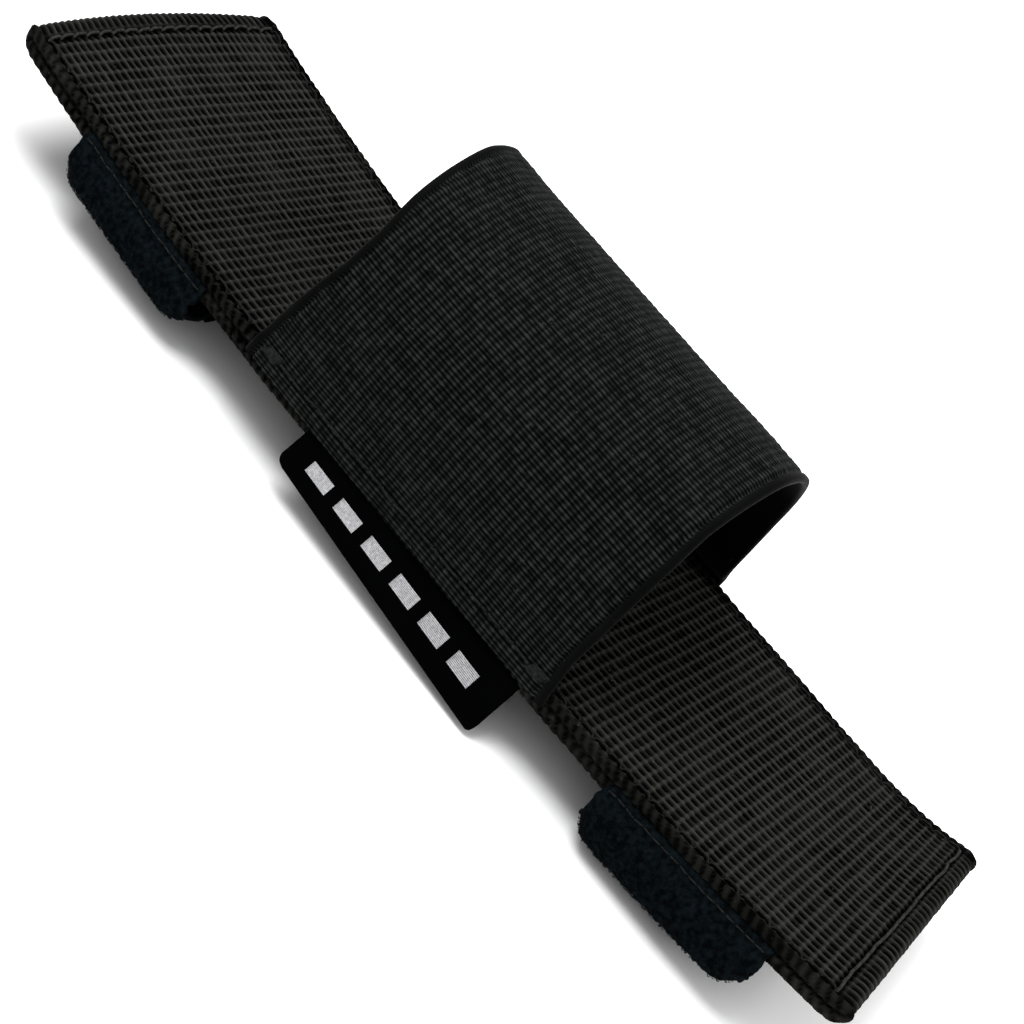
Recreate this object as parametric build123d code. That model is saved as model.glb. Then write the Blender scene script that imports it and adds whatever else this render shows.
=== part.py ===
"""Holder for a folded limb tourniquet: an elastic sleeve on a webbing strap with two belt loops.

X runs along the strap, Y across it and +Z out of the face that carries the sleeve.
The origin is the middle of the strap's underside. All lengths are in millimetres.
"""
from build123d import *
import os

os.makedirs("parts", exist_ok=True)

# Strap: two layers of heavy webbing, the face layer turned under at both ends
strap_length = 167.0
strap_width = 50.0
layer = 1.85
hem_length = 15.0
fold_radius = 1.8
fold_slit = 0.15
corner_radius = 2.0
strap_top = 2 * layer

# Elastic sleeve: its ends turn down over the face layer's two edges, and it arches up between them
sleeve_length = 60.5
sleeve_x = 1.2
elastic = 1.4
foot_bend = 0.9
seam_inset = 0.2
arch_bend = 11.0
# One half of the arch's middle line: distance from the strap's middle, height above its face
arch = ((22.9, 0.7), (24.0, 7.0), (21.9, 14.8), (18.0, 21.0), (12.2, 26.4), (5.7, 30.1))
crown_height = 31.2

# Tag sewn in between the strap's layers, under the sleeve's turned edge
tag_length = 43.0
tag_depth = 7.0
tag_thickness = 0.6
tag_corner = 1.6
tag_x = 6.8
tag_z = 1.45
tag_droop = 57.0
tag_gap = 0.35

# Belt loops: one near each end of the strap, closed by hook and loop tape
loop_length = 27.0
loop_centres = {"left": -52.5, "right": 58.5}
base_thickness = 0.6
tunnel_height = 4.2
pile_tape = 1.2
carrier_tape = 0.7
hook_tape = 0.6
tape_gap = 0.15
hinge_z = 1.2
hinge_gap = 0.3
loop_reach = 9.0
hook_reach = -17.0
hook_field_start = 20.0
hook_field_margin = 1.5
loop_bend = 2.6

# Sewing thread: flush stitches lying in shallow grooves
stitch_length = 2.6
stitch_pitch = 3.0
thread = 0.5
edge_inset = 1.3
end_inset = 3.4
tape_seam_inset = 2.6
tack_length = 3.2
tack_width = 1.2
tack_height = 0.35
tack_inset = 3.4

half_length = strap_length / 2
half_width = strap_width / 2
end_x = half_length - end_inset
edge_y = half_width - edge_inset
seam_y = half_width - seam_inset
foot_top = strap_top + elastic
side_y = half_width + elastic / 2
tunnel_floor = -base_thickness - tunnel_height
pile_seam_y = -half_width - hinge_gap - pile_tape + thread / 2


def save(name, shape):
    """Write one named piece."""
    shape.label = name
    export_step(shape, f"parts/{name}.step")


def block(x, y, z):
    """Box given by its lowest and highest X, Y and Z."""
    size = (x[1] - x[0], y[1] - y[0], z[1] - z[0])
    centre = ((x[0] + x[1]) / 2, (y[0] + y[1]) / 2, (z[0] + z[1]) / 2)
    return Pos(*centre) * Box(*size)


def groove_x(x, y, z):
    """Channel along X for a stitch row, centred on y, z."""
    return block(x, (y - thread / 2, y + thread / 2), (z - thread / 2, z + thread / 2))


def stitches_x(x, y, z):
    """Row of separate stitches along X, centred on y, z and on the span x."""
    count = int((x[1] - x[0]) / stitch_pitch)
    start = (x[0] + x[1]) / 2 - (count - 1) * stitch_pitch / 2
    half = stitch_length / 2
    centres = [start + step * stitch_pitch for step in range(count)]
    return [groove_x((centre - half, centre + half), y, z) for centre in centres]


def stitches_y(x, y, z):
    """Row of separate stitches along Y."""
    turned = stitches_x((-y[1], -y[0]), x, z)
    return [stitch.rotate(Axis.Z, -90) for stitch in turned]


def tape_profile(points, bend, thickness):
    """Closed outline of a tape of one thickness, bent along points in the YZ plane."""
    path = FilletPolyline(*points, radius=bend)
    return Plane.YZ * trace(path, thickness)


def tape(points, bend, thickness, x):
    """Tape that follows points in the YZ plane and spans x."""
    return Pos(x[0], 0, 0) * extrude(tape_profile(points, bend, thickness), x[1] - x[0])


# Strap ---------------------------------------------------------------------------------
def edge_spans():
    """X spans of the long edges' stitch rows, on either side of the sleeve."""
    low, high = sleeve_x_span()
    return ((-end_x, low), (high, end_x))


def edge_rows(y):
    """Stitches of one long edge."""
    rows = []
    for low, high in edge_spans():
        rows += stitches_x((low + stitch_pitch / 2, high - stitch_pitch / 2), y, strap_top - thread / 2)
    return rows


def face_webbing():
    """Face layer: full length, rounded over at the ends and turned under by the hems."""
    outline = RectangleRounded(strap_length, strap_width, corner_radius)
    body = extrude(outline, strap_top)
    ends = body.edges().filter_by(Axis.Y)
    body = fillet(ends, fold_radius)
    pocket = half_length - hem_length
    body -= block((-pocket, pocket), (-strap_width, strap_width), (-1, layer))
    for side in (-1, 1):
        slit = block((0, hem_length - layer), (-strap_width, strap_width), (-fold_slit / 2, fold_slit / 2))
        slit = slit if side > 0 else slit.rotate(Axis.Z, 180)
        body -= Pos(side * pocket, 0, layer) * slit
    for y in (-edge_y, edge_y):
        for span in edge_spans():
            body -= groove_x(span, y, strap_top - thread / 2)
    for x in (-end_x, end_x):
        body -= groove_x((-edge_y, edge_y), x, strap_top - thread / 2).rotate(Axis.Z, -90)
    return body


def back_webbing():
    """Inner layer, butted against the two hems."""
    pocket = half_length - hem_length
    return block((-pocket, pocket), (-half_width, half_width), (0, layer))


# Sleeve --------------------------------------------------------------------------------
def half_section():
    """Middle line of one half of the sleeve's section: up the strap's side, over its edge and up the arch."""
    turned = [(side_y, layer), (side_y, strap_top + elastic / 2)]
    return turned + [(y, strap_top + height) for y, height in arch]


def sleeve_points():
    """Middle line of the whole section, from the front side over the crown to the back side."""
    back = half_section()
    front = [(-y, z) for y, z in back]
    return front + [(0, strap_top + crown_height)] + back[::-1]


def sleeve_x_span():
    """Lowest and highest X of the sleeve."""
    return (sleeve_x - sleeve_length / 2, sleeve_x + sleeve_length / 2)


def elastic_sleeve():
    """Wide elastic band held along both edges of the strap."""
    half_radii = [foot_bend] * 2 + [arch_bend] * (len(arch) - 1)
    radii = half_radii + [arch_bend] + half_radii[::-1]
    path = FilletPolyline(*sleeve_points(), radius=radii)
    body = extrude(Plane.YZ * trace(path, elastic), sleeve_length)
    body = Pos(sleeve_x_span()[0], 0, 0) * body
    for y in (-seam_y, seam_y):
        body -= groove_x(sleeve_x_span(), y, foot_top - thread / 2)
    return body


def bartacks():
    """Four dense bars of thread at the ends of the sleeve's two seams."""
    low, high = sleeve_x_span()
    bars = []
    for x in (low + tack_inset, high - tack_inset):
        for y in (-seam_y, seam_y):
            bars.append(Pos(x, y, foot_top + tack_height / 2) * Box(tack_length, tack_width, tack_height))
    return bars


def side_tag():
    """Flat fabric tag hanging down and out from the strap's front edge."""
    width = RectangleRounded(tag_length, tag_depth, tag_corner)
    flat = extrude(Pos(tag_x, -tag_depth / 2, 0) * width, tag_thickness / 2, both=True)
    drooped = flat.rotate(Axis.X, tag_droop)
    return Pos(0, *tag_hinge()) * drooped


def tag_hinge():
    """Y and Z of the line that the tag bends about."""
    return (-half_width - tag_gap, tag_z)


# Belt loops ----------------------------------------------------------------------------
def loop_span(name):
    """Lowest and highest X of one belt loop."""
    return (loop_centres[name] - loop_length / 2, loop_centres[name] + loop_length / 2)


def base_rows():
    """Y of the two stitch rows that hold a loop's base to the strap."""
    return (-half_width + tape_seam_inset, half_width - tape_seam_inset)


def tape_base(name):
    """Plain tape sewn across the underside of the strap, the root of both flaps."""
    base = block(loop_span(name), (-half_width, half_width), (-base_thickness, 0))
    for y in base_rows():
        base -= groove_x(loop_span(name), y, thread / 2 - base_thickness)
    return base


def hinge_y(thickness):
    """Distance from the strap's middle to the bending line of a flap."""
    return half_width + hinge_gap + thickness / 2


def loop_flap(name):
    """Pile tape: down past the front edge of the strap and back under the belt space."""
    run_z = tunnel_floor - pile_tape / 2
    outer = -hinge_y(pile_tape)
    flap = tape([(outer, hinge_z), (outer, run_z), (loop_reach, run_z)], loop_bend, pile_tape, loop_span(name))
    return flap - flap_groove(name)


def flap_groove(name):
    """Channel for the stitch row on the outside of the pile tape."""
    return groove_x(loop_span(name), pile_seam_y, 0)


def carrier_z():
    """Middle height of the hook flap's flat run."""
    return tunnel_floor - pile_tape - tape_gap - hook_tape - carrier_tape / 2


def carrier_bottom():
    """Height of the hook flap's outside face, the lowest of the holder."""
    return carrier_z() - carrier_tape / 2


def hook_flap(name):
    """Carrier tape: down past the back edge and forward under the pile tape."""
    run_z = carrier_z()
    outer = hinge_y(carrier_tape)
    flap = tape([(outer, hinge_z), (outer, run_z), (hook_reach, run_z)], loop_bend, carrier_tape, loop_span(name))
    for y in hook_rows():
        flap -= groove_x(loop_span(name), y, carrier_bottom() + thread / 2)
    return flap


def hook_rows():
    """Y of the stitch rows that hold the hook tape on its carrier."""
    return (hook_reach + tape_seam_inset, hook_field_start - tape_seam_inset)


def hook_tape_piece(name):
    """Hook tape, hooks up, sewn on the carrier."""
    low, high = loop_span(name)
    x = (low + hook_field_margin / 2, high - hook_field_margin / 2)
    base = carrier_z() + carrier_tape / 2
    return block(x, (hook_reach + hook_field_margin, hook_field_start), (base, base + hook_tape))


# Write the pieces ----------------------------------------------------------------------
save("face_webbing", face_webbing())
save("back_webbing", back_webbing())
save("front_edge_stitching", Compound(children=edge_rows(-edge_y)))
save("back_edge_stitching", Compound(children=edge_rows(edge_y)))
end_span = (-edge_y + stitch_pitch / 2, edge_y - stitch_pitch / 2)
save("left_end_stitching", Compound(children=stitches_y(-end_x, end_span, strap_top - thread / 2)))
save("right_end_stitching", Compound(children=stitches_y(end_x, end_span, strap_top - thread / 2)))

save("elastic_sleeve", elastic_sleeve())
tack_reach = tack_inset + tack_length / 2
between_tacks = (sleeve_x_span()[0] + tack_reach, sleeve_x_span()[1] - tack_reach)
save("front_sleeve_seam", Compound(children=stitches_x(between_tacks, -seam_y, foot_top - thread / 2)))
save("back_sleeve_seam", Compound(children=stitches_x(between_tacks, seam_y, foot_top - thread / 2)))
save("sleeve_bartacks", Compound(children=bartacks()))
save("side_tag", side_tag())

for side in loop_centres:
    span = loop_span(side)
    base_z = thread / 2 - base_thickness
    base_seams = [seam for y in base_rows() for seam in stitches_x(span, y, base_z)]
    hook_z = carrier_bottom() + thread / 2
    hook_seams = [seam for y in hook_rows() for seam in stitches_x(span, y, hook_z)]
    save(f"{side}_tape_base", tape_base(side))
    save(f"{side}_base_stitching", Compound(children=base_seams))
    save(f"{side}_loop_flap", loop_flap(side))
    save(f"{side}_loop_flap_stitching", Compound(children=stitches_x(span, pile_seam_y, 0)))
    save(f"{side}_hook_flap", hook_flap(side))
    save(f"{side}_hook_tape", hook_tape_piece(side))
    save(f"{side}_hook_stitching", Compound(children=hook_seams))
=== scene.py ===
"""Looks of the tourniquet holder: every soft piece as woven cloth, thread or pile, in the CAD frame.

Lengths are millimetres until mesh_object() turns them into metres. The camera, the lights
and the floor are placed in metres.
"""
import math

import bpy
import numpy as np
from mathutils import Matrix, Vector


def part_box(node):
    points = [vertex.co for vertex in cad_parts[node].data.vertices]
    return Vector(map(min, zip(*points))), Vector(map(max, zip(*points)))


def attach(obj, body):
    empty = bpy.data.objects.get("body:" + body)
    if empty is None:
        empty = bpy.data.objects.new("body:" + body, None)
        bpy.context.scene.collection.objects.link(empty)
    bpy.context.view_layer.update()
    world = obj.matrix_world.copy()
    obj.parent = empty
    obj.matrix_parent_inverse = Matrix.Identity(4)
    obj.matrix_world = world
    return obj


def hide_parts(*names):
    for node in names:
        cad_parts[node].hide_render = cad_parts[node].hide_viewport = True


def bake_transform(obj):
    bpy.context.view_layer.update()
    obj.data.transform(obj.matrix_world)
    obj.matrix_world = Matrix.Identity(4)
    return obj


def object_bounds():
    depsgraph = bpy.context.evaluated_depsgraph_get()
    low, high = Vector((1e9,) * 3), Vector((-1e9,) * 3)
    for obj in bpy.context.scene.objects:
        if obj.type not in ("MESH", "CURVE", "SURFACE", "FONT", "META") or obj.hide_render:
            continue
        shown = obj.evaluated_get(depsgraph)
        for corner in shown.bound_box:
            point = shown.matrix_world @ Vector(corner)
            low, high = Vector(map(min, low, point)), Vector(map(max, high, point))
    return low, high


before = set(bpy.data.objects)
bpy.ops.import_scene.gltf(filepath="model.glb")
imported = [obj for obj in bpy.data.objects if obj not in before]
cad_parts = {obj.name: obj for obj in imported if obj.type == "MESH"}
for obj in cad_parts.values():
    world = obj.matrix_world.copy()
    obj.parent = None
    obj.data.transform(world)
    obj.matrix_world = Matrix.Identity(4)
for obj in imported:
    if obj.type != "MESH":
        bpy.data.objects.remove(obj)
cad_low, cad_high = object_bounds()

MM = 0.001


def box(node):
    """Lowest and highest corner of a CAD node, in millimetres."""
    low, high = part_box(node)
    return np.array(low) / MM, np.array(high) / MM


strap_high = box("face_webbing")[1]
inner_low, inner_high = box("back_webbing")
sleeve_low, sleeve_high = box("elastic_sleeve")
tag_low, tag_high = box("side_tag")
x_axis = np.array([1.0, 0, 0])
y_axis = np.array([0, 1.0, 0])

# Strap
layer = inner_high[2] - inner_low[2]
strap_top = strap_high[2]
half_length = strap_high[0]
half_width = strap_high[1]
corner = 3.4
warp_pitch = 1.36
pick_pitch = 1.70
weave_depth = 0.55
edge_columns = 5

# Lift of the strap's four corners: side, edge, where it starts, how high it is at the end
curls = ((-1, -1, 10.0, 5.2), (-1, 1, 10.0, 6.7), (1, -1, 30.0, 4.0), (1, 1, 62.0, 3.0))

# Shift of the strap's ends along X: slanted across the right end, rounded at the left end
shift_start = 50.0
right_shift = -0.8
right_slant = -1.75
left_shift = -1.9
left_round = 1.75

# Elastic
elastic = 1.3
rib_pitch = 0.56
rib_round = 0.24
bead_pitch = 1.17
bead_depth = 0.05
selvedge_width = 0.75
side_y = half_width + elastic / 2
# Middle line of the sleeve, as Y and height above the strap's face, from front side to back side
arch_knots = [
    (-side_y, -1.75), (-side_y - 0.05, -0.3), (-25.5, 1.0), (-24.8, 2.6), (-24.4, 5.0),
    (-24.1, 8.0), (-22.3, 15.0), (-18.9, 21.2), (-13.3, 27.0), (-6.1, 30.5),
    (0.0, 31.4), (7.4, 29.4), (14.7, 23.6), (19.2, 16.2), (22.3, 8.0),
    (23.4, 4.5), (24.6, 2.2), (25.5, 1.0), (side_y + 0.05, -0.3), (side_y, -1.75),
]
# Offset of the sleeve's two selvedges from its box, at fractions of the way along the section
edge_fraction = (0.0, 0.07, 0.14, 0.2, 0.26, 0.33, 0.4, 0.5, 0.6, 0.8, 0.91, 1.0)
left_edge = (0.8, 1.4, 2.4, 3.3, 3.2, 2.1, 1.3, 0.3, -0.2, 0.0, 0.2, 0.2)
right_edge = (0.2, -0.9, -0.8, -0.9, -1.1, -1.6, -1.6, -1.5, -1.4, -2.8, -3.3, -3.6)

# Sewing
thread_radius = 0.22
stitch_pitch = 2.6
stitch_gap = 0.04
stitch_sink = 0.42
end_inset = 3.4
edge_inset = 1.5
seam_from_edge = 2.9
foot_out = side_y + 0.42
foot_level = strap_top + 1.05
foot_slope = (0.9, 0.43)
tack_inset = 3.0
tack_reach = 1.6
tack_threads = 5
tack_spacing = 0.26

# Tag
tag_length = tag_high[0] - tag_low[0]
tag_out = 7.0
tag_hidden = 3.2
tag_thick = 0.5
tag_corner = 1.5
tag_tilt = 0.95

# Belt loops
pile_tape = 1.2
pile_depth = 0.2
carrier_tape = 0.7
hook_base = 0.35
hook_inset = 1.5
hinge_z = 1.2
fold_out = 0.6
fold_above = 0.6
fold_below = 1.6
tape_warp = 0.8
tape_pick = 0.6


# ---------------------------------------------------------------- geometry helpers
def lift(x, y):
    """Height that the strap's gentle curl adds at x, y."""
    share = np.clip((y + half_width) / (2 * half_width), -0.1, 1.1)
    rise = np.zeros_like(x)
    for side, edge, start, height in curls:
        past = np.clip(side * x - start, 0, None) / (half_length - start)
        rise = rise + height * past ** 2 * (share if edge > 0 else 1 - share)
    return rise


def curled(points):
    """Points moved with the strap's curl, its slanted right end and its rounded left end."""
    points = np.array(points, float)
    x, y = points[..., 0].copy(), points[..., 1].copy()
    past = np.clip(np.abs(x) - shift_start, 0, None) / (half_length - shift_start)
    across = y / half_width
    shift = np.where(x > 0, right_shift + right_slant * across, left_shift + left_round * across ** 2)
    points[..., 0] += shift * past ** 2
    points[..., 2] += lift(x, y)
    return points


def mesh_object(name, points, faces, material, cloth=None, relief=None):
    """Mesh object from millimetre points, smooth shaded, with its cloth coordinates as attributes."""
    mesh = bpy.data.meshes.new(name)
    mesh.from_pydata((np.asarray(points) * MM).tolist(), [], faces)
    mesh.update()
    mesh.polygons.foreach_set("use_smooth", np.ones(len(mesh.polygons), bool))
    if cloth is not None:
        store = mesh.attributes.new("cloth", "FLOAT_VECTOR", "POINT")
        store.data.foreach_set("vector", np.asarray(cloth, np.float32).ravel())
    # relief: 0 to 1 mask of painted shade (low) and painted highlight (high) for the fabric colour
    if relief is not None:
        store = mesh.attributes.new("relief", "FLOAT", "POINT")
        store.data.foreach_set("value", np.asarray(relief, np.float32).ravel())
    mesh.materials.append(material)
    made = bpy.data.objects.new(name, mesh)
    bpy.context.collection.objects.link(made)
    return made


def grid_faces(rows, columns):
    """Quads of a grid of rows by columns, closed over the columns."""
    i, j = np.meshgrid(np.arange(rows - 1), np.arange(columns), indexing="ij")
    k = (j + 1) % columns
    quads = np.stack([i * columns + j, i * columns + k, (i + 1) * columns + k, (i + 1) * columns + j], -1)
    return quads.reshape(-1, 4).tolist()


def closed_faces(rows, columns):
    """Faces of a grid closed over its columns, with a cap at each end."""
    faces = grid_faces(rows, columns)
    faces.append(list(range(columns)))
    faces.append([(rows - 1) * columns + k for k in range(columns)][::-1])
    return faces


def smooth_path(knots, step):
    """Curve through knots, resampled at an even step."""
    knots = np.array(knots, float)
    padded = np.vstack([2 * knots[0] - knots[1], knots, 2 * knots[-1] - knots[-2]])
    t = np.linspace(0, 1, 40, endpoint=False)[:, None]
    pieces = []
    for a, b, c, d in zip(padded, padded[1:], padded[2:], padded[3:]):
        pieces.append(0.5 * (2 * b + (c - a) * t + (2 * a - 5 * b + 4 * c - d) * t ** 2
                             + (3 * b - a - 3 * c + d) * t ** 3))
    dense = np.vstack(pieces + [knots[-1:]])
    along = np.r_[0, np.cumsum(np.linalg.norm(np.diff(dense, axis=0), axis=1))]
    count = int(round(along[-1] / step)) + 1
    even = np.linspace(0, along[-1], count)
    return np.stack([np.interp(even, along, dense[:, axis]) for axis in range(dense.shape[1])], -1), even


def side_normals(path):
    """Unit normals on the left of a planar path."""
    tangent = np.gradient(path, axis=0)
    tangent /= np.linalg.norm(tangent, axis=1)[:, None]
    return np.stack([-tangent[:, 1], tangent[:, 0]], -1)


def noise(size, coarse, seed):
    """Smooth random field from -1 to 1 on a grid of size, with about coarse cells each way."""
    cells = np.random.RandomState(seed).uniform(-1, 1, (coarse[0] + 1, coarse[1] + 1))
    u = np.linspace(0, coarse[0], size[0])
    v = np.linspace(0, coarse[1], size[1])
    i = np.minimum(u.astype(int), coarse[0] - 1)
    j = np.minimum(v.astype(int), coarse[1] - 1)
    fu = (u - i)[:, None]
    fv = (v - j)[None, :]
    fu = fu * fu * (3 - 2 * fu)
    fv = fv * fv * (3 - 2 * fv)
    top = cells[i][:, j] * (1 - fv) + cells[i][:, j + 1] * fv
    bottom = cells[i + 1][:, j] * (1 - fv) + cells[i + 1][:, j + 1] * fv
    return top * (1 - fu) + bottom * fu


def cell_lot(row, column, spread, seed):
    """Random number of each cell of a weave, the same wherever the same cell comes up."""
    lot = np.random.RandomState(seed).normal(0, spread, 997)
    return lot[((row * 37 + column * 101) % 997).astype(int)]


def groove(distance, depth, width):
    """Dent that sewing or a selvedge leaves in the cloth, by distance from its middle."""
    return depth * np.exp(-(distance / width) ** 2)


def rounded_edge(middle, normal, out, half, bulge):
    """Half-round edge of a cloth, in edge_columns steps from its face to its back."""
    rim = []
    for k, turn in enumerate(np.linspace(0, math.pi, edge_columns + 2)[1:-1]):
        rim.append(middle + (half + bulge[:, [k]]) * (out * math.sin(turn) + normal * math.cos(turn)))
    return np.stack(rim, 1)


def cloth_strip(name, middle, normal, across, thick, face_relief, material, s, y, back_step,
                edge_relief=None, shade=None):
    """Closed woven strip.

    middle and normal are grids of points and unit normals, with rows along the strip at distances s and
    columns across it at distances y. across is the unit direction of growing column. face_relief is the
    height of the weave on the normal's side, edge_relief its height on the rounded edges. shade, if it
    differs, is the part of that height that the painted shade and painted highlight follow. The back keeps
    one column in back_step.
    """
    rows, columns = middle.shape[:2]
    half = thick / 2
    face = middle + normal * (half + face_relief)[..., None]
    kept = np.unique(np.r_[np.arange(0, columns, back_step), columns - 1])
    back = (middle - normal * half)[:, kept][:, ::-1]
    bulge = np.zeros((rows, edge_columns)) if edge_relief is None else edge_relief
    last_edge = rounded_edge(middle[:, -1], normal[:, -1], across, half, bulge)
    first_edge = rounded_edge(middle[:, 0], normal[:, 0], -across, half, bulge)[:, ::-1]
    ring = np.concatenate([face, last_edge, back, first_edge], 1)
    width = ring.shape[1]
    back_start = columns + edge_columns
    back_end = width - edge_columns

    flat_s = np.repeat(s[:, None], width, 1)
    flat_y = np.zeros((rows, width))
    flat_y[:, :columns] = y[None, :]
    flat_y[:, columns:back_start] = y[-1] + half * np.linspace(0.3, 1.2, edge_columns)
    flat_y[:, back_start:back_end] = y[kept][::-1]
    flat_y[:, back_end:] = y[0] - half * np.linspace(1.2, 0.3, edge_columns)
    cloth = np.stack([flat_s, flat_y, np.zeros_like(flat_s)], -1)

    # Mask that the colour ramp reads: low for painted shade, high for painted highlight; an even face stays
    # mid
    relief = np.full((rows, width), 0.5)
    # Back: one level of painted shade
    relief[:, back_start:back_end] = 0.3
    # Edges: painted shade between the edge loops, painted highlight on their bulges
    if edge_relief is not None:
        rim = np.clip(0.85 * edge_relief / edge_relief.max(), 0, 1)
        relief[:, columns:back_start] = rim
        relief[:, back_end:] = rim
    # Face: painted shade in the hollows and stitch grooves, painted highlight on the crowns
    shade = face_relief if shade is None else shade
    bottom, top = np.percentile(shade, (2, 98))
    if top > bottom:
        relief[:, :columns] = np.clip((shade - bottom) / (top - bottom), 0, 1)
    points = curled(ring.reshape(-1, 3))
    faces = closed_faces(rows, width)
    return mesh_object(name, points, faces, material, cloth.reshape(-1, 3), relief.ravel())


def rib_weave(s, y, warp, pick, depth, seed):
    """Height of a ribbed webbing weave: a ridge across the strip over every pick, small holes between."""
    ridge_width = 0.55
    bead_width = 0.60
    s, y = np.meshgrid(s, y, indexing="ij")
    y = y + 0.14 * warp * noise(s.shape, (max(2, s.shape[0] // 20), max(2, s.shape[1] // 12)), seed)
    s = s + 0.05 * pick * noise(s.shape, (max(2, s.shape[0] // 60), max(2, s.shape[1] // 10)), seed + 1)
    row = np.floor(s / pick)
    yarn = np.floor(y / warp)
    uneven = cell_lot(yarn, row, 1, seed + 2)
    from_hole_s = np.abs(s / pick - row - 0.5) * 2
    from_hole_y = np.abs(y / warp - yarn) * 2
    from_hole_y = np.minimum(from_hole_y, 2 - from_hole_y)
    ridge = np.sqrt(np.clip(1 - ((1 - from_hole_s) / ridge_width) ** 2, 0, None))
    bead = np.sqrt(np.clip(1 - ((1 - from_hole_y) / bead_width) ** 2, 0, None))
    crowns = ridge * (0.76 + 0.24 * bead)
    between = bead * (0.88 + 0.06 * np.clip(uneven, -2, 2))
    return depth * (np.maximum(crowns, between) - 1)


def tube(points, radius, sides):
    """Closed round tube along points: its vertices and faces."""
    points = np.array(points, float)
    tangent = np.gradient(points, axis=0)
    tangent /= np.linalg.norm(tangent, axis=1)[:, None]
    guide = np.array([0.31, 0.52, 0.79])
    u = np.cross(tangent, guide)
    u /= np.linalg.norm(u, axis=1)[:, None]
    v = np.cross(tangent, u)
    turn = np.linspace(0, 2 * math.pi, sides, endpoint=False)[None, :, None]
    ring = points[:, None] + radius * (np.cos(turn) * u[:, None] + np.sin(turn) * v[:, None])
    return ring.reshape(-1, 3), closed_faces(len(points), sides)


def tubes_object(name, lines, radius, material, sides=6):
    """One object of many separate tubes."""
    points, faces, start = [], [], 0
    for line in lines:
        ring, tube_faces = tube(line, radius, sides)
        points.append(ring)
        faces += [[k + start for k in face] for face in tube_faces]
        start += len(ring)
    return mesh_object(name, np.vstack(points), faces, material)


def stitch(start, end, up, proud=0.14):
    """Line of one stitch: it comes up out of the cloth, lies on it and goes back in."""
    start, end, up = (np.array(v, float) for v in (start, end, up))
    t = np.linspace(0, 1, 9)
    shape = np.clip(np.sin(math.pi * t) * 1.9, 0, 1)
    height = -stitch_sink + (stitch_sink + proud) * shape
    return start + (end - start) * t[:, None] + up * height[:, None]


def row_of_stitches(start, end, up, seed, pitch=stitch_pitch, wander=0.10):
    """Stitches end to end from start to end, with the small unevenness of sewing."""
    start, end = np.array(start, float), np.array(end, float)
    length = np.linalg.norm(end - start)
    count = max(1, int(round(length / pitch)))
    along = (end - start) / length
    side = np.cross(along, up)
    lot = np.random.RandomState(seed).normal(0, wander, count + 1)
    gap = stitch_gap * pitch
    lines = []
    for k in range(count):
        a = start + along * (k * length / count + gap) + side * lot[k]
        b = start + along * ((k + 1) * length / count - gap) + side * lot[k + 1]
        lines.append(stitch(a, b, up))
    return lines


# ---------------------------------------------------------------- materials
# Painted shade in the holes to painted highlight on the crowns of a woven yarn, by its height in the weave:
# share of the height, multiple of the yarn's dark colour
painted_hole_shade = (0.44, 0.03)
painted_slope_shade = (0.72, 0.7)
painted_crown_highlight = (0.95, 2.4)
# Fineness of the filaments: waves per millimetre along the strip and across it
filament_scale = (0.9, 9.0, 1)


def new_material(name, sheen, sheen_roughness, shine):
    """Material with its node tree and its shader."""
    made = bpy.data.materials.new(name)
    made.use_nodes = True
    shader = made.node_tree.nodes["Principled BSDF"]
    shader.inputs["Sheen Weight"].default_value = sheen
    shader.inputs["Sheen Roughness"].default_value = sheen_roughness
    shader.inputs["Specular IOR Level"].default_value = shine
    return made, made.node_tree, shader


def attribute_node(tree, name):
    """Node that reads a mesh attribute."""
    node = tree.nodes.new("ShaderNodeAttribute")
    node.attribute_name = name
    return node


def noise_node(tree, vector, scale, detail):
    """Noise over a vector output."""
    node = tree.nodes.new("ShaderNodeTexNoise")
    node.inputs["Scale"].default_value = scale
    node.inputs["Detail"].default_value = detail
    tree.links.new(vector, node.inputs["Vector"])
    return node.outputs["Fac"]


def range_node(tree, value, source, result):
    """Value mapped from the source range to the result range."""
    node = tree.nodes.new("ShaderNodeMapRange")
    node.inputs["From Min"].default_value, node.inputs["From Max"].default_value = source
    node.inputs["To Min"].default_value, node.inputs["To Max"].default_value = result
    tree.links.new(value, node.inputs["Value"])
    return node.outputs["Result"]


def mix_node(tree, factor, under, colour):
    """Colour output under, mixed towards a plain colour by factor."""
    node = tree.nodes.new("ShaderNodeMix")
    node.data_type = "RGBA"
    node.inputs["B"].default_value = (*colour, 1)
    tree.links.new(factor, node.inputs["Factor"])
    tree.links.new(under, node.inputs["A"])
    return node.outputs["Result"]


def ramp_node(tree, value, first, last):
    """Colour ramp between two steps, each a position and a colour."""
    node = tree.nodes.new("ShaderNodeValToRGB")
    for element, (position, colour) in zip(node.color_ramp.elements, (first, last)):
        element.position = position
        element.color = (*colour, 1)
    tree.links.new(value, node.inputs["Fac"])
    return node


def bump_node(tree, height, strength, distance):
    """Normal that a height output bumps."""
    node = tree.nodes.new("ShaderNodeBump")
    node.inputs["Strength"].default_value = strength
    node.inputs["Distance"].default_value = distance
    tree.links.new(height, node.inputs["Height"])
    return node.outputs["Normal"]


def painted_step(dark, step):
    """Ramp step of the painted shade and highlight: its position and its multiple of the yarn's dark colour.
    """
    position, share = step
    return position, [c * share for c in dark]


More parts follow.
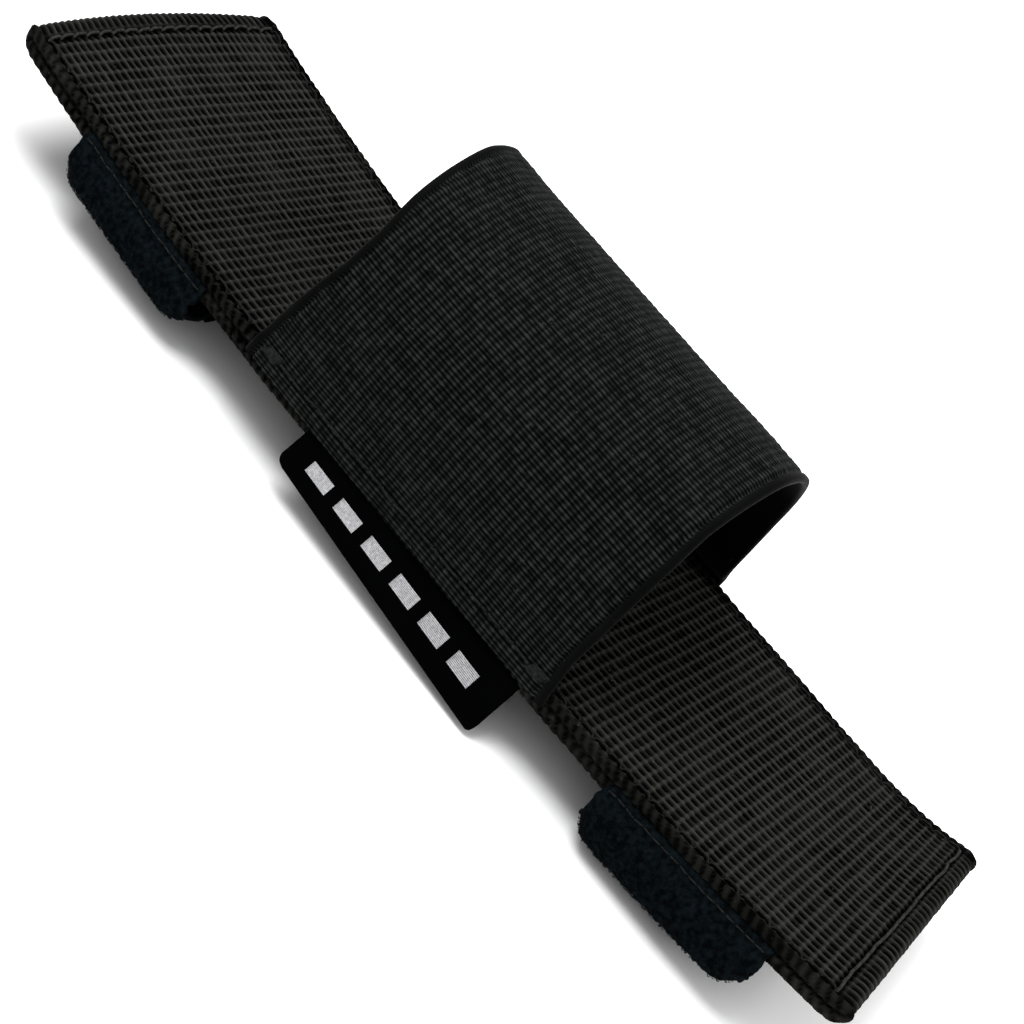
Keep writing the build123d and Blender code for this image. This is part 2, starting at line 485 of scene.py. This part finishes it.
def fabric(name, dark, light, roughness, sheen=0.0, bump=0.25, specks=0.0, shine=0.02, wear=0.5):
    """Yarn colour with painted shade between the yarns and painted highlight on their crowns, with filaments,
    lint and wear.
    """
    made, tree, shader = new_material(name, sheen, 0.45, shine)
    place = tree.nodes.new("ShaderNodeTexCoord").outputs["Object"]
    relief = attribute_node(tree, "relief").outputs["Fac"]
    # The relief mask paints shade in the weave's hollows and a highlight on its crowns
    ramp = ramp_node(tree, relief, painted_step(dark, painted_hole_shade), painted_step(dark, painted_crown_highlight))
    position, colour = painted_step(dark, painted_slope_shade)
    slope = ramp.color_ramp.elements.new(position)
    slope.color = (*colour, 1)

    faded = range_node(tree, noise_node(tree, place, 140, 5), (0.42, 0.75), (0, wear))
    crown = tree.nodes.new("ShaderNodeMath")
    crown.operation = "MULTIPLY"
    tree.links.new(faded, crown.inputs[0])
    tree.links.new(relief, crown.inputs[1])
    colour = mix_node(tree, crown.outputs["Value"], ramp.outputs["Color"], light)
    if specks:
        lint = range_node(tree, noise_node(tree, place, 1500, 2), (0.72, 0.78), (0, specks))
        colour = mix_node(tree, lint, colour, (0.08, 0.08, 0.078))
    tree.links.new(colour, shader.inputs["Base Color"])

    stretch = tree.nodes.new("ShaderNodeVectorMath")
    stretch.operation = "MULTIPLY"
    stretch.inputs[1].default_value = filament_scale
    tree.links.new(attribute_node(tree, "cloth").outputs["Vector"], stretch.inputs[0])
    filament = noise_node(tree, stretch.outputs["Vector"], 1, 3)
    rough = range_node(tree, filament, (0, 1), (roughness - 0.12, roughness + 0.12))
    tree.links.new(rough, shader.inputs["Roughness"])
    tree.links.new(bump_node(tree, filament, bump, 0.00012), shader.inputs["Normal"])
    return made


def grain(name, base, light, roughness, sheen, scale, bump):
    """Fabric seen without a regular weave: thread, pile and hooks."""
    made, tree, shader = new_material(name, sheen, 0.4, 0.02)
    place = tree.nodes.new("ShaderNodeTexCoord").outputs["Object"]
    fine = noise_node(tree, place, scale, 4)
    ramp = ramp_node(tree, fine, (0.35, base), (0.7, light))
    tree.links.new(ramp.outputs["Color"], shader.inputs["Base Color"])
    rough = range_node(tree, fine, (0, 1), (roughness - 0.1, roughness + 0.1))
    tree.links.new(rough, shader.inputs["Roughness"])
    tree.links.new(bump_node(tree, fine, bump, 0.0001), shader.inputs["Normal"])
    return made


webbing_mat = fabric("webbing_nylon", (0.0104, 0.0103, 0.0096), (0.024, 0.0238, 0.0222), 0.5,
                     specks=0.35, shine=0.004, wear=0.45)
elastic_mat = fabric("elastic_knit", (0.0082, 0.0091, 0.0087), (0.0120, 0.0130, 0.0125), 0.5,
                     sheen=0.03, specks=0.25, shine=0.006, wear=0.12)
tape_mat = fabric("tape_nylon", (0.006, 0.0068, 0.0075), (0.012, 0.013, 0.014), 0.7)
tag_mat = fabric("tag_satin", (0.0007, 0.0009, 0.0014), (0.0012, 0.0014, 0.0020), 0.6, bump=0.15, shine=0.01)
thread_mat = grain("sewing_thread", (0.012, 0.012, 0.0115), (0.034, 0.034, 0.033), 0.5, 0.0, 2500, 0.5)
seam_mat = grain("seam_thread", (0.005, 0.0056, 0.0053), (0.016, 0.017, 0.0165), 0.5, 0.0, 2500, 0.5)
pile_mat = grain("loop_pile", (0.0002, 0.0006, 0.0010), (0.0032, 0.0056, 0.0068), 0.85, 0.0, 1200, 0.6)
hook_mat = grain("hook_nylon", (0.008, 0.008, 0.009), (0.016, 0.016, 0.017), 0.45, 0.05, 900, 0.2)
mark_mat = grain("tag_mark_thread", (0.30, 0.30, 0.31), (0.46, 0.46, 0.47), 0.55, 0.2, 2500, 0.5)


def finish_piece(piece, nodes, body="strap", blend=None):
    """Gives a piece its body, or bakes its transform in place when it has a bend, and hides the CAD nodes it
    stands for.
    """
    if blend:
        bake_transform(piece)
    else:
        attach(piece, body)
    if nodes:
        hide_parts(*nodes)


# ---------------------------------------------------------------- strap
def strap_edge_relief(s, seed):
    """Bulging slanted yarns where the weft turns back along the strap's edges."""
    turns = np.arange(edge_columns)[None, :]
    lot = noise((len(s), edge_columns), (len(s) // 14, edge_columns - 1), seed)
    phase = (s[:, None] + 0.30 * turns + 0.3 * lot) / (0.9 * pick_pitch)
    return 0.06 + 0.22 * np.abs(np.cos(math.pi * phase)) ** 0.7 + 0.06 * lot


def strap_grid(path, y):
    """Grid of a webbing layer that follows an XZ path, with its columns at y, and its normals."""
    normals = side_normals(path)
    middle = np.zeros((len(path), len(y), 3))
    middle[..., 0] = path[:, 0][:, None]
    middle[..., 1] = y[None, :]
    middle[..., 2] = path[:, 1][:, None]
    normal = np.zeros_like(middle)
    normal[..., 0] = normals[:, 0][:, None]
    normal[..., 2] = normals[:, 1][:, None]
    return middle, normal


def folded_path(step):
    """Middle line of the face layer in XZ, with its hems folded under.

    Gives the distance along it and the point at each step, its length and the height of the folds' middle.
    """
    inner_z = layer / 2
    outer_z = strap_top - layer / 2
    fold_z = (inner_z + outer_z) / 2
    radius = (outer_z - inner_z) / 2
    hem = half_length - inner_high[0]
    bend_x = half_length - layer
    swing = np.linspace(0, math.pi, 9)
    left = np.stack([-bend_x - radius * np.sin(swing), fold_z - radius * np.cos(swing)], -1)
    right = np.stack([bend_x + radius * np.sin(swing), fold_z + radius * np.cos(swing)], -1)
    first = [-half_length + hem, inner_z]
    last = [half_length - hem, inner_z]
    knots = np.vstack([first, left, [0, outer_z], right, last])
    along = np.r_[0, np.cumsum(np.linalg.norm(np.diff(knots, axis=0), axis=1))]
    s = np.arange(0, along[-1], step)
    path = np.stack([np.interp(s, along, knots[:, 0]), np.interp(s, along, knots[:, 1])], -1)
    return s, path, along[-1], fold_z


def face_webbing():
    """Face layer: one long webbing whose two ends fold under."""
    step = 0.3
    columns = 204
    s, path, length, fold_z = folded_path(step)
    x = path[:, 0]
    y = np.linspace(-half_width + layer / 2, half_width - layer / 2, columns)
    weave = rib_weave(s, y + half_width, warp_pitch, pick_pitch, weave_depth, 3)
    on_top = path[:, 1] > fold_z
    for side in (-1, 1):
        weave -= (groove(x - side * (half_length - end_inset), 0.22, 0.7) * on_top)[:, None]
        weave -= groove(y - side * (half_width - edge_inset), 0.16, 0.55)[None, :]
    middle, normal = strap_grid(path, y)
    past = np.clip(np.abs(x) - (half_length - corner), 0, corner) / corner
    pull = 1 - (1 - np.sqrt(1 - past ** 2 * 0.8)) * corner / half_width
    middle[..., 1] *= pull[:, None]
    normal *= np.sign(normal[len(s) // 2, 0, 2])
    piece = cloth_strip("face_webbing_cloth", middle, normal, y_axis, layer, weave, webbing_mat,
                        s=s, y=y, back_step=24, edge_relief=strap_edge_relief(s, 5))
    finish_piece(piece, ["face_webbing"])


def back_webbing():
    """Inner layer, woven side down, between the two hems."""
    step = 0.34
    columns = 200
    s = np.arange(inner_low[0], inner_high[0], step)
    y = np.linspace(half_width - layer / 2, -half_width + layer / 2, columns)
    weave = rib_weave(s, y + half_width, warp_pitch, pick_pitch, weave_depth, 21)
    middle, normal = strap_grid(np.stack([s, np.full(len(s), layer / 2)], -1), y)
    piece = cloth_strip("back_webbing_cloth", middle, -normal, -y_axis, layer, weave, webbing_mat,
                        s=s, y=y, back_step=24, edge_relief=strap_edge_relief(s, 8))
    finish_piece(piece, ["back_webbing"])


def strap_stitching():
    """Lockstitch along the long edges and across both ends of the strap."""
    up = (0, 0, 1)
    level = strap_top - 0.12
    end_x = half_length - end_inset
    edge_y = half_width - edge_inset
    for name, side, seed in (("front_edge_stitching", -1, 31), ("back_edge_stitching", 1, 32)):
        y = side * edge_y
        lines = row_of_stitches((-end_x, y, level), (sleeve_low[0], y, level), up, seed)
        lines += row_of_stitches((sleeve_high[0], y, level), (end_x, y, level), up, seed + 5)
        piece = tubes_object(name + "_thread", curled(lines), thread_radius * 0.8, seam_mat)
        finish_piece(piece, [name])
    for name, side, seed in (("left_end_stitching", -1, 33), ("right_end_stitching", 1, 34)):
        x = side * end_x
        lines = row_of_stitches((x, -edge_y, level), (x, edge_y, level), up, seed)
        piece = tubes_object(name + "_thread", curled(lines), thread_radius, thread_mat)
        finish_piece(piece, [name])


# ---------------------------------------------------------------- sleeve
def elastic_relief(x, t, to_rim, length):
    """Height of the elastic's ribs, beads, selvedges and dents, and the part of it that the painted shade and
    highlight follow.
    """
    wander = 0.16 * noise(t.shape, (18, 6), 41)
    rib = np.floor((t + wander) / rib_pitch)
    off = ((t + wander) / rib_pitch - rib - 0.5) / 0.53
    ribs = rib_round * np.sqrt(np.clip(1 - off ** 2, 0, None))
    beads = bead_depth * np.cos(2 * math.pi * x / bead_pitch + 0.8 * noise(t.shape, (60, 20), 42))
    bead = np.floor(x / bead_pitch + 0.5)
    relief = ribs + beads - rib_round + cell_lot(rib, bead, 0.022, 44)
    # shade: painted shade in the rib hollows, painted highlight on the ribs; the selvedges get one flat
    # painted shade level
    shade = ribs + 0.5 * (relief - ribs)
    shade = np.where(to_rim > selvedge_width, shade, np.percentile(shade, 30))
    rim = np.clip((selvedge_width - to_rim) / 0.35, 0, 1)
    relief = relief * (1 - rim) + 0.02 * rim
    relief -= groove(to_rim - selvedge_width - 0.1, 0.30, 0.22)
    puckers = 1 + 0.35 * np.cos(2 * math.pi * x / stitch_pitch)
    for seam in (seam_from_edge, length - seam_from_edge):
        relief -= puckers * groove(t - seam, 0.22, 0.6)
    relief += 0.10 * noise(t.shape, (9, 7), 43)
    return relief, shade


def elastic_sleeve():
    """Wide ribbed elastic arching over the strap."""
    path, along = smooth_path(arch_knots, rib_pitch / 3.5)
    path[:, 1] += strap_top
    normals = side_normals(path)
    fraction = along / along[-1]
    low = sleeve_low[0] + np.interp(fraction, edge_fraction, left_edge)
    high = sleeve_high[0] + np.interp(fraction, edge_fraction, right_edge)
    columns = 142
    share = np.linspace(0, 1, columns)
    x = low[:, None] + (high - low)[:, None] * share[None, :]
    middle = np.zeros((len(path), columns, 3))
    middle[..., 0] = x
    middle[..., 1] = path[:, 0][:, None]
    middle[..., 2] = path[:, 1][:, None]
    normal = np.zeros_like(middle)
    normal[..., 1] = normals[:, 0][:, None]
    normal[..., 2] = normals[:, 1][:, None]
    t = np.repeat(along[:, None], columns, 1)
    to_rim = np.minimum(x - low[:, None], high[:, None] - x)
    relief, shade = elastic_relief(x, t, to_rim, along[-1])
    width = sleeve_high[0] - sleeve_low[0]
    piece = cloth_strip("elastic_sleeve_cloth", middle, normal, x_axis, elastic, relief, elastic_mat,
                        s=along, y=share * width, back_step=10, shade=shade)
    finish_piece(piece, ["elastic_sleeve"])


def tack_places(side):
    """X of the two bar tacks on one side of the sleeve, set in from its selvedges there."""
    end = 0 if side < 0 else -1
    return sleeve_low[0] + left_edge[end] + tack_inset, sleeve_high[0] + right_edge[end] - tack_inset


def sleeve_sewing():
    """Seams along the sleeve's two feet, with a bar tack in each corner."""
    out_of_foot = {side: np.array([0, side * foot_slope[0], foot_slope[1]]) for side in (-1, 1)}
    for name, side, seed in (("front_sleeve_seam", -1, 51), ("back_sleeve_seam", 1, 52)):
        low, high = tack_places(side)
        start = (low + tack_reach, side * foot_out, foot_level)
        end = (high - tack_reach, side * foot_out, foot_level)
        lines = row_of_stitches(start, end, out_of_foot[side], seed)
        piece = tubes_object(name + "_thread", curled(lines), thread_radius * 0.8, seam_mat)
        finish_piece(piece, [name])
    lines = []
    for side in (-1, 1):
        for x in tack_places(side):
            for k in range(tack_threads):
                shift = (k - tack_threads // 2) * tack_spacing
                y = side * (foot_out - 0.45 * shift)
                start = np.array([x - tack_reach + 0.2 * k, y, foot_level + 0.9 * shift])
                lines.append(stitch(start, start + (3.0, 0, 0.1), out_of_foot[side], proud=0.1))
    piece = tubes_object("sleeve_bartacks_thread", curled(lines), 0.16, seam_mat)
    finish_piece(piece, ["sleeve_bartacks"])


# ---------------------------------------------------------------- tag
def tag_surface(x, depth):
    """Point on the tag's middle surface, depth out from its root between the strap's layers."""
    share = (x - tag_low[0]) / tag_length
    droop = np.clip(0.35 + 0.30 * (depth + 1.5), 0.0, 1.0 + 0.05 * share)
    reach = depth * (0.86 + 0.36 * share)
    y = -half_width - 0.2 - reach * np.cos(droop)
    z = 1.6 - reach * np.sin(droop) - 0.9 * share
    return np.stack(np.broadcast_arrays(x, y, z), -1)


def side_tag():
    """Satin tag sewn in under the sleeve's front side."""
    rows, columns = 50, 120
    depth = np.linspace(-tag_hidden, tag_out, rows)
    share = np.linspace(0, 1, columns)
    past = np.clip(depth - (tag_out - tag_corner), 0, tag_corner)
    pull = tag_corner - np.sqrt(np.clip(tag_corner ** 2 - past ** 2, 0, None))
    low, high = tag_low[0] + pull, tag_high[0] - 0.4 * pull
    x = low[:, None] + (high - low)[:, None] * share[None, :]
    middle = tag_surface(x, depth[:, None])
    normal = np.cross(np.gradient(middle, axis=1), np.gradient(middle, axis=0))
    normal /= np.linalg.norm(normal, axis=2)[..., None]
    normal *= np.sign(normal[rows // 2, columns // 2, 2])
    weave = 0.02 * np.cos(2 * math.pi * depth / 0.5)[:, None] * np.ones(columns)[None, :]
    piece = cloth_strip("side_tag_cloth", middle, normal, x_axis, tag_thick, weave, tag_mat,
                        s=depth, y=share * tag_length, back_step=1, shade=np.zeros_like(weave))
    hinge_y = -half_width - 0.35
    bend = ((0, hinge_y + 0.6, 1.45), (0, hinge_y - 1.0, 0.45))
    finish_piece(piece, ["side_tag"], "tag", bend)


def tag_stripe():
    """Plain row of woven dashes along the tag."""
    dash_count = 6
    dash_pitch = 6.2
    dash_length = 4.2
    before_first = 3.6
    rows = np.arange(2.6, 4.6, 0.2)
    lines = []
    for k in range(dash_count):
        start = tag_low[0] + before_first + dash_pitch * k
        for depth in rows:
            line = tag_surface(np.linspace(start, start + dash_length, 9), np.full(9, depth))
            line[:, 1] -= tag_thick / 2 * math.sin(tag_tilt)
            line[:, 2] += tag_thick / 2 * math.cos(tag_tilt) + 0.03
            lines.append(line)
    stripe = tubes_object("side_tag_stripe", curled(lines), 0.1, mark_mat, sides=5)
    finish_piece(stripe, [], "tag")


# ---------------------------------------------------------------- belt loops
def tape_grid(path, x_low, x_high, columns):
    """Grid of a tape that follows a YZ path, with its columns along X, its normals and its x values."""
    x = np.linspace(x_low, x_high, columns)
    normals = side_normals(path)
    middle = np.zeros((len(path), columns, 3))
    middle[..., 0] = x[None, :]
    middle[..., 1] = path[:, 0][:, None]
    middle[..., 2] = path[:, 1][:, None]
    normal = np.zeros_like(middle)
    normal[..., 1] = normals[:, 0][:, None]
    normal[..., 2] = normals[:, 1][:, None]
    return middle, normal, x


def flap_fold(edge):
    """Ends of the stretch where a flap bends when it opens, from just above its hinge to just below it; the
    flap stays closed here.
    """
    y = edge * (half_width + fold_out)
    return (0, y, hinge_z + fold_above), (0, y, hinge_z - fold_below)


def pile_relief(x, path, selvedge):
    """Height of the pile's fuzz and of the beaded selvedge above it."""
    shape = (len(path), len(x))
    fuzz = 0.07 * noise(shape, (shape[0] // 2, shape[1] // 2), 61)
    fuzz = fuzz + 0.05 * noise(shape, (shape[0] // 6, shape[1] // 8), 62)
    beads = 0.12 * np.cos(2 * math.pi * x / 0.85)[None, :] * np.cos(2 * math.pi * path[:, 1] / 1.3)[:, None]
    return fuzz * (1 - selvedge[:, None]) + beads * selvedge[:, None] - 0.12


def loop_flap(side):
    """Pile tape: out between the strap's layers, down past its front edge and back under the belt space."""
    low, high = box(f"{side}_loop_flap")
    run_z = low[2] + pile_tape / 2
    wall_y = low[1] + pile_tape / 2
    hang = 0.0 if side == "left" else 1.2
    knots = [
        (-half_width + 1.6, layer), (-half_width - 0.1, layer - 0.2), (wall_y, 0.4), (wall_y - 0.9, -1.4),
        (wall_y - 1.2, -3.4 - hang / 2), (wall_y - 0.2, run_z + 0.6 - hang), (wall_y + 1.8, run_z - hang / 2),
        (-19.0, run_z), (-10.0, run_z), (0.0, run_z), (high[1], run_z),
    ]
    path, along = smooth_path(knots, 0.26)
    path = path[::-1]
    middle, normal, x = tape_grid(path, low[0], high[0], 108)
    on_wall = path[:, 0] < -20
    selvedge = np.clip((path[:, 1] + 0.9) / 0.4, 0, 1) * on_wall
    relief = pile_relief(x, path, selvedge)
    to_end = np.minimum(x - x[0], x[-1] - x)
    tuck = np.clip(1 - to_end / 2.8, 0, 1) ** 2 * np.clip(-path[:, 1] / 5, 0, 1)[:, None]
    middle[..., 1] += 1.0 * tuck
    middle[..., 2] += 1.7 * tuck
    ragged = 0.35 * noise((len(path), 2), (len(path) // 5, 1), 63)
    middle[:, 0, 0] += ragged[:, 0]
    middle[:, -1, 0] += ragged[:, 1]
    normal *= np.sign(-normal[5, 0, 2])
    thick = pile_tape - pile_depth
    piece = cloth_strip(f"{side}_loop_flap_cloth", middle, normal, x_axis, thick, relief, pile_mat,
                        s=along, y=x - x[0], back_step=3)
    fold = flap_fold(-1)
    finish_piece(piece, [f"{side}_loop_flap"], f"{side}_loop", fold)
    pile_fibres(side, middle, normal, selvedge, fold)
    seam_z = 1.1
    row = np.argmin(np.abs(path[:, 1] - seam_z) + 100 * ~on_wall)
    on_face = middle[row] + normal[row] * (pile_tape - pile_depth) / 2
    lines = row_of_stitches(on_face[1], on_face[-2], normal[row, 0], 64, pitch=1.6, wander=0.05)
    seam = tubes_object(f"{side}_loop_flap_thread", curled(lines), 0.12, seam_mat)
    finish_piece(seam, [f"{side}_loop_flap_stitching"], f"{side}_loop", fold)


def pile_fibres(side, middle, normal, selvedge, fold):
    """Small loops of yarn all over the pile."""
    loop_count = 5200
    columns = middle.shape[1]
    pick = np.random.RandomState(71 if side == "left" else 72)
    usable = np.where(selvedge < 0.5)[0]
    t = np.linspace(0, math.pi, 5)
    lines = []
    for _ in range(loop_count):
        i = usable[pick.randint(len(usable))]
        j = pick.randint(1, columns - 1)
        base = middle[i, j] + normal[i, j] * (pile_tape / 2 - pile_depth)
        turn = pick.normal(math.pi / 2, 0.7)
        lean = math.cos(turn) * x_axis + math.sin(turn) * np.cross(normal[i, j], x_axis)
        width, height = pick.uniform(0.14, 0.30), pick.uniform(0.10, 0.22)
        lines.append(base + np.outer(-np.cos(t) * width, lean) + np.outer(np.sin(t) * height, normal[i, j]))
    fibres = tubes_object(f"{side}_pile_fibres", curled(lines), 0.055, pile_mat, sides=3)
    finish_piece(fibres, [], f"{side}_loop", fold)


def tape_seams(side, part, x, level, seed, body):
    """Two rows of stitches along X under a belt loop's tape."""
    low, high = box(f"{side}_{part}_stitching")
    lines = []
    for y in (low[1] + 0.25, high[1] - 0.25):
        lines += row_of_stitches((x[0] + 0.6, y, level), (x[-1] - 0.6, y, level), (0, 0, -1), seed)
    seams = tubes_object(f"{side}_{part}_thread", curled(lines), thread_radius * 0.7, thread_mat)
    finish_piece(seams, [f"{side}_{part}_stitching"], body)


def hook_flap(side):
    """Carrier tape from the strap's back edge, under the pile tape, with its hook tape sewn on."""
    low, high = box(f"{side}_hook_flap")
    run_z = low[2] + carrier_tape / 2
    wall_y = high[1] - carrier_tape / 2
    knots = [
        (half_width - 1.6, layer), (half_width + 0.05, layer - 0.1), (wall_y, 0.3), (wall_y + 0.1, -2.4),
        (wall_y - 0.25, -5.0), (wall_y - 1.6, run_z + 0.45), (wall_y - 3.6, run_z), (10.0, run_z),
        (-4.0, run_z), (low[1], run_z),
    ]
    path, along = smooth_path(knots, 0.3)
    middle, normal, x = tape_grid(path, low[0] + hook_inset, high[0] - hook_inset, 96)
    normal *= -np.sign(normal[-5, 0, 2])
    weave = rib_weave(along, x - x[0], tape_warp, tape_pick, 0.14, 81)
    piece = cloth_strip(f"{side}_hook_flap_cloth", middle, normal, x_axis, carrier_tape, weave, tape_mat,
                        s=along, y=x - x[0], back_step=3)
    finish_piece(piece, [f"{side}_hook_flap"], f"{side}_hook", flap_fold(1))
    hook_tape(side)
    tape_seams(side, "hook", x, low[2] + 0.12, 82, f"{side}_hook")


def hook_tape(side):
    """Hook tape, facing up: a thin woven ground under a field of small moulded hooks."""
    low, high = box(f"{side}_hook_tape")
    low[0] += hook_inset
    high[0] -= hook_inset
    y = np.arange(low[1], high[1], 0.5)
    path = np.stack([y, np.full(len(y), low[2] + hook_base / 2)], -1)
    middle, normal, x = tape_grid(path, low[0], high[0], 54)
    relief = 0.03 * np.cos(2 * math.pi * x)[None, :] * np.ones(len(y))[:, None] - 0.03
    ground = cloth_strip(f"{side}_hook_tape_ground", middle, normal, x_axis, hook_base, relief, tape_mat,
                         s=y - y[0], y=x - x[0], back_step=6)
    finish_piece(ground, [f"{side}_hook_tape"], f"{side}_hook")
    hook_field(side, low, high)


def hook_field(side, low, high):
    """Rows of small hooks, bent one way and the other, over the ground between low and high."""
    row_pitch = 1.15
    hook_pitch = 1.3
    before_first = 1.0
    after_last = 0.6
    root_z = low[2] + hook_base - 0.05
    rise = high[2] + 0.05 - root_z
    turn = np.linspace(-0.2, 3.9, 6)
    lines = []
    for row, y in enumerate(np.arange(low[1] + before_first, high[1] - after_last, row_pitch)):
        odd = row % 2
        for x in np.arange(low[0] + before_first + 0.4 * odd, high[0] - after_last, hook_pitch):
            arc_y = y + 0.16 * (1 - np.cos(turn)) * (1 if odd else -1)
            arc_z = root_z + rise * np.clip(np.sin(turn), -0.6, 1) * 0.5 + rise * 0.5
            lines.append(np.vstack([(x, y, root_z), np.stack([np.full(6, x), arc_y, arc_z], -1)]))
    hooks = tubes_object(f"{side}_hooks", curled(lines), 0.09, hook_mat, sides=4)
    finish_piece(hooks, [], f"{side}_hook")


def tape_base(side):
    """Plain tape across the strap's underside, sewn down by two rows."""
    low, high = box(f"{side}_tape_base")
    y = np.arange(high[1] - 0.3, low[1] + 0.3, -0.3)
    path = np.stack([y, np.full(len(y), (low[2] + high[2]) / 2)], -1)
    middle, normal, x = tape_grid(path, low[0], high[0], 96)
    s = np.abs(y - y[0])
    weave = rib_weave(s, x - x[0], tape_warp, tape_pick, 0.12, 91)
    piece = cloth_strip(f"{side}_tape_base_cloth", middle, normal, x_axis, high[2] - low[2], weave, tape_mat,
                        s=s, y=x - x[0], back_step=12)
    finish_piece(piece, [f"{side}_tape_base"])
    tape_seams(side, "base", x, low[2] + 0.1, 92, "strap")


# ---------------------------------------------------------------- camera, light and floor
def camera():
    """Camera on the tag's side, above the strap, rolled so that the strap runs down to the right."""
    place = Vector((0.0755, -0.2418, 0.1526))
    target = Vector((0.0060, -0.0019, 0.0020))
    roll = math.radians(41.07)
    data = bpy.data.cameras.new("camera")
    data.lens = 75.8
    data.sensor_width = 36
    data.clip_start = 0.01
    made = bpy.data.objects.new("camera", data)
    bpy.context.collection.objects.link(made)
    forward = (target - place).normalized()
    level = forward.cross(Vector((0, 0, 1))).normalized()
    up = level.cross(forward)
    right = level * math.cos(roll) + up * math.sin(roll)
    top = right.cross(forward)
    turn = Matrix((right, top, -forward)).transposed()
    made.matrix_world = Matrix.Translation(place) @ turn.to_4x4()
    bpy.context.scene.camera = made


def area_light(name, place, size, power):
    """Soft square light aimed at the holder."""
    data = bpy.data.lights.new(name, "AREA")
    data.size = size
    data.energy = power
    made = bpy.data.objects.new(name, data)
    bpy.context.collection.objects.link(made)
    made.location = place
    made.rotation_mode = "QUATERNION"
    made.rotation_quaternion = (-Vector(place)).to_track_quat("-Z", "Y")


def studio():
    """Pale floor, white surroundings and soft lights."""
    scene = bpy.context.scene
    scene.view_settings.view_transform = "Standard"
    world = bpy.data.worlds.new("studio")
    world.use_nodes = True
    background = world.node_tree.nodes["Background"]
    background.inputs["Color"].default_value = (1, 1, 1, 1)
    background.inputs["Strength"].default_value = 0.8
    scene.world = world
    area_light("key", (-0.30, -0.10, 0.70), 0.5, 7.0)
    area_light("fill", (0.55, 0.25, 0.45), 0.5, 3.0)
    paper = bpy.data.materials.new("paper")
    paper.use_nodes = True
    shader = paper.node_tree.nodes["Principled BSDF"]
    shader.inputs["Base Color"].default_value = (0.93, 0.93, 0.93, 1)
    shader.inputs["Roughness"].default_value = 0.9
    size = 3.0
    level = cad_low[2]
    corners = [(-size, -size, level), (size, -size, level), (size, size, level), (-size, size, level)]
    mesh = bpy.data.meshes.new("floor")
    mesh.from_pydata(corners, [], [(0, 1, 2, 3)])
    mesh.materials.append(paper)
    floor = bpy.data.objects.new("floor", mesh)
    bpy.context.collection.objects.link(floor)


camera()
studio()
face_webbing()
back_webbing()
strap_stitching()
elastic_sleeve()
sleeve_sewing()
side_tag()
tag_stripe()
for loop_side in ("left", "right"):
    loop_flap(loop_side)
    hook_flap(loop_side)
    tape_base(loop_side)
